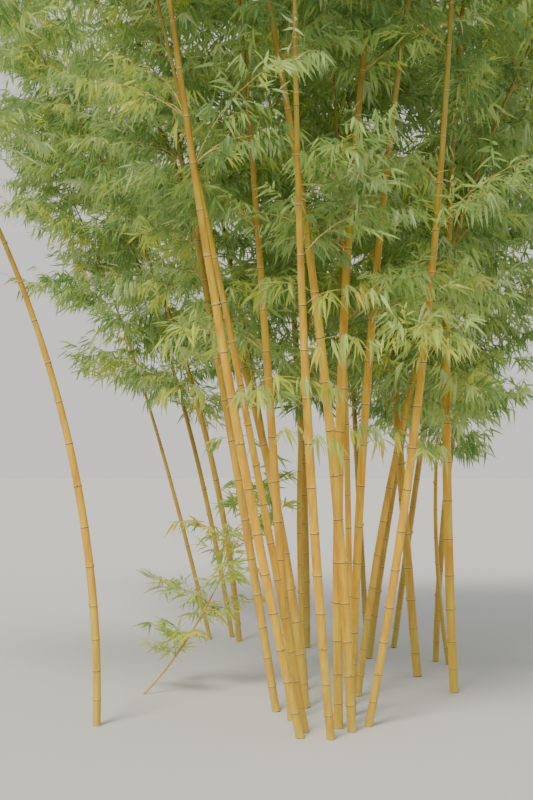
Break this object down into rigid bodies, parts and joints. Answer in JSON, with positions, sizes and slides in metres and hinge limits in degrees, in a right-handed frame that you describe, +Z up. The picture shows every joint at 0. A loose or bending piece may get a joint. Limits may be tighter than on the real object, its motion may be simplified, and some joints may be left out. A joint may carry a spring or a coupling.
{
  "type": "golden bamboo clump",
  "caption": "Clump of golden bamboo: jointed culms rise bare from one foot, lean apart and carry an airy crown of drooping lance leaves, rooted at ground level.",
  "frame": {"origin": "centre of the flat cut under the main culm, at ground level", "axes": "+Z up, +X to the right as the picture shows it, +Y away from the viewer"},
  "size_m": [8.3056, 8.4047, 8.4163],
  "materials": {
    "culm": "smooth golden bamboo cane, satin",
    "foliage": "soft matt green lance leaves"
  },
  "bodies": {
    "root": {"culm_01": "culm", "culm_02": "culm", "culm_03": "culm", "culm_04": "culm", "culm_05": "culm", "culm_06": "culm", "culm_07": "culm", "culm_08": "culm", "culm_09": "culm", "culm_10": "culm", "culm_11": "culm", "culm_12": "culm", "culm_13": "culm", "culm_14": "culm", "culm_15": "culm", "culm_16": "culm", "culm_17": "culm", "culm_18": "culm", "culm_19": "culm", "culm_20": "culm", "culm_21": "culm", "culm_22": "culm", "culm_23": "culm", "culm_24": "culm", "culm_25": "culm", "culm_26": "culm", "foliage_01": "foliage", "foliage_02": "foliage", "foliage_03_high": "foliage", "foliage_03_low": "foliage", "foliage_04_high": "foliage", "foliage_04_low": "foliage", "foliage_05_high": "foliage", "foliage_05_low": "foliage", "foliage_06_high": "foliage", "foliage_06_low": "foliage", "foliage_07": "foliage", "foliage_08": "foliage", "foliage_09": "foliage", "foliage_10": "foliage", "foliage_11": "foliage", "foliage_12_high": "foliage", "foliage_12_low": "foliage", "foliage_13": "foliage", "foliage_14": "foliage", "foliage_15": "foliage", "foliage_16": "foliage", "foliage_17": "foliage", "foliage_18_high": "foliage", "foliage_18_low": "foliage", "foliage_20_high": "foliage", "foliage_20_low": "foliage", "foliage_21_high": "foliage", "foliage_21_low": "foliage", "foliage_22_high": "foliage", "foliage_22_low": "foliage", "foliage_23": "foliage", "foliage_24": "foliage", "foliage_low_left": "foliage", "shoot_low_left": "culm"}
  },
  "joints": []
}
